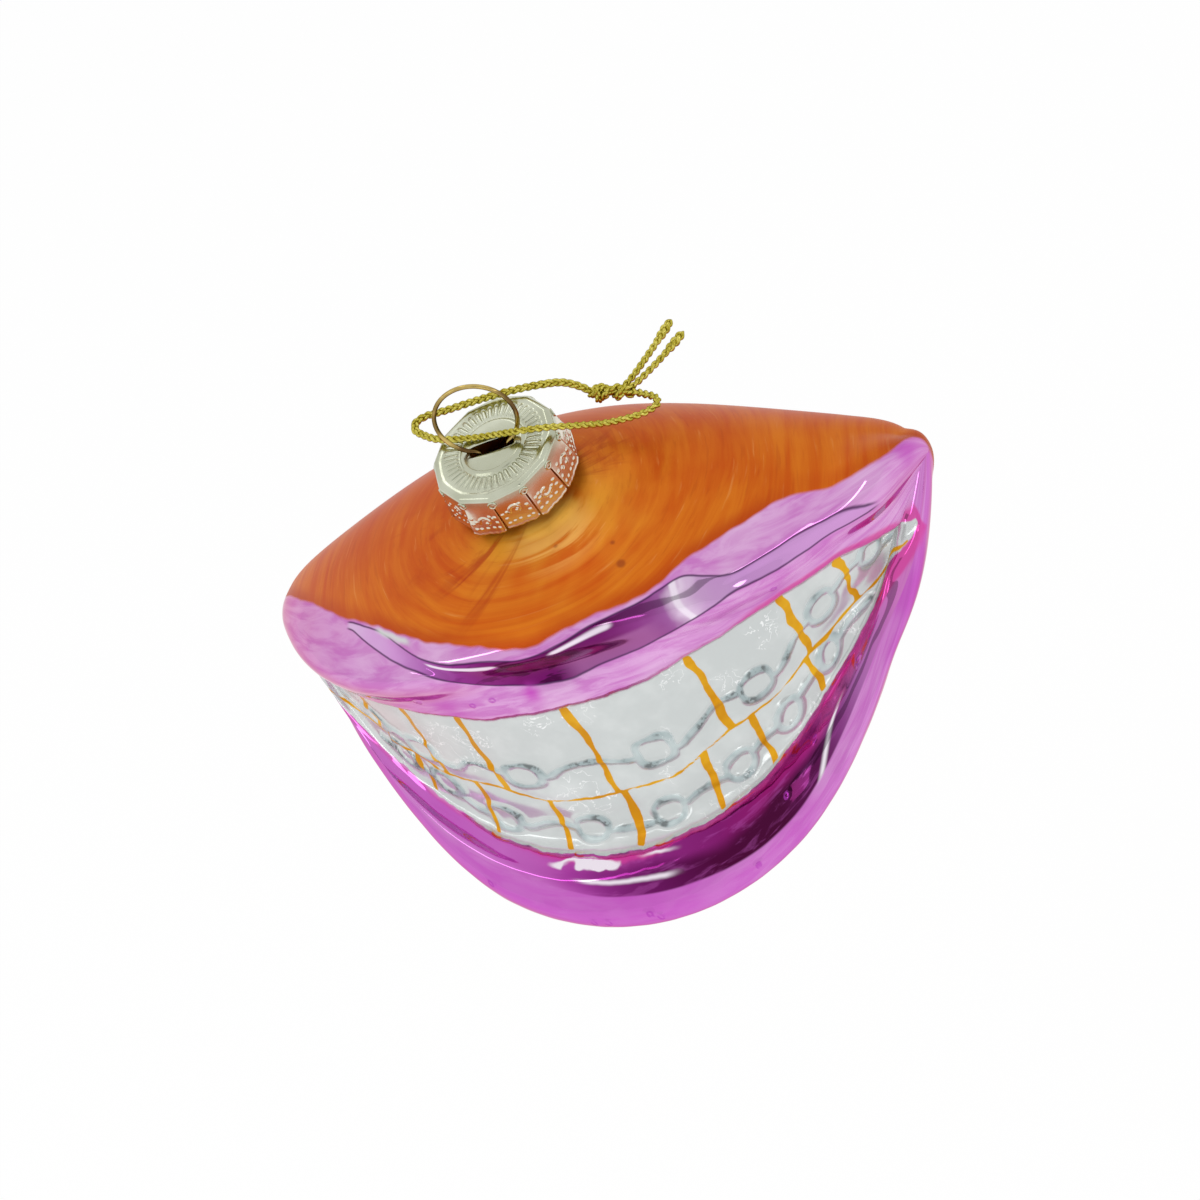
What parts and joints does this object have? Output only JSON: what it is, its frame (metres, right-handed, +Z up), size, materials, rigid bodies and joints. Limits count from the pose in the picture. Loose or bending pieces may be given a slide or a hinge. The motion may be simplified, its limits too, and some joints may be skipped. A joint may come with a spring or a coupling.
{
  "type": "christmas ornament",
  "caption": "Hanging blown glass ornament shaped like a smiling mouth with braces, with a crown cap, a sprung wire eye and a short gold cord loop.",
  "frame": {"origin": "inside top of the wire hanger's eye, where the ornament hangs", "axes": "+Z up along the neck, -Y towards the front of the smile, +X towards one corner of the mouth"},
  "size_m": [0.1024, 0.0656, 0.0783],
  "materials": {
    "silvered_glass": "silvered inside, magenta and orange lacquer outside, gloss",
    "cap_metal": "pressed and polished, pale champagne silver",
    "hanger_metal": "drawn wire, gold brown",
    "gold_cord": "braided metallic thread"
  },
  "bodies": {
    "glass": {"glass_body": "silvered_glass"},
    "cap": {"cap_crown": "cap_metal"},
    "hanger": {"hanger_wire": "hanger_metal"},
    "cord": {"cord_loop": "gold_cord", "cord_knot": "gold_cord", "cord_tail_left": "gold_cord", "cord_tail_right": "gold_cord"}
  },
  "joints": [
    {"name": "cap_turn", "type": "hinge", "parent": "glass", "child": "cap", "pos_m": [0.00016, -0.00186, -0.01061], "axis": [0, 0, 1], "continuous": true},
    {"name": "hanger_tilt", "type": "hinge", "parent": "cap", "child": "hanger", "pos_m": [0.00016, -0.00186, -0.01061], "axis": [0.9962, 0.0872, 0], "range_deg": [0, 20]},
    {"name": "cord_swing", "type": "hinge", "parent": "hanger", "child": "cord", "pos_m": [0.00336, -0.00166, -0.00881], "axis": [0.9578, -0.2873, 0], "range_deg": [0, 60]}
  ]
}
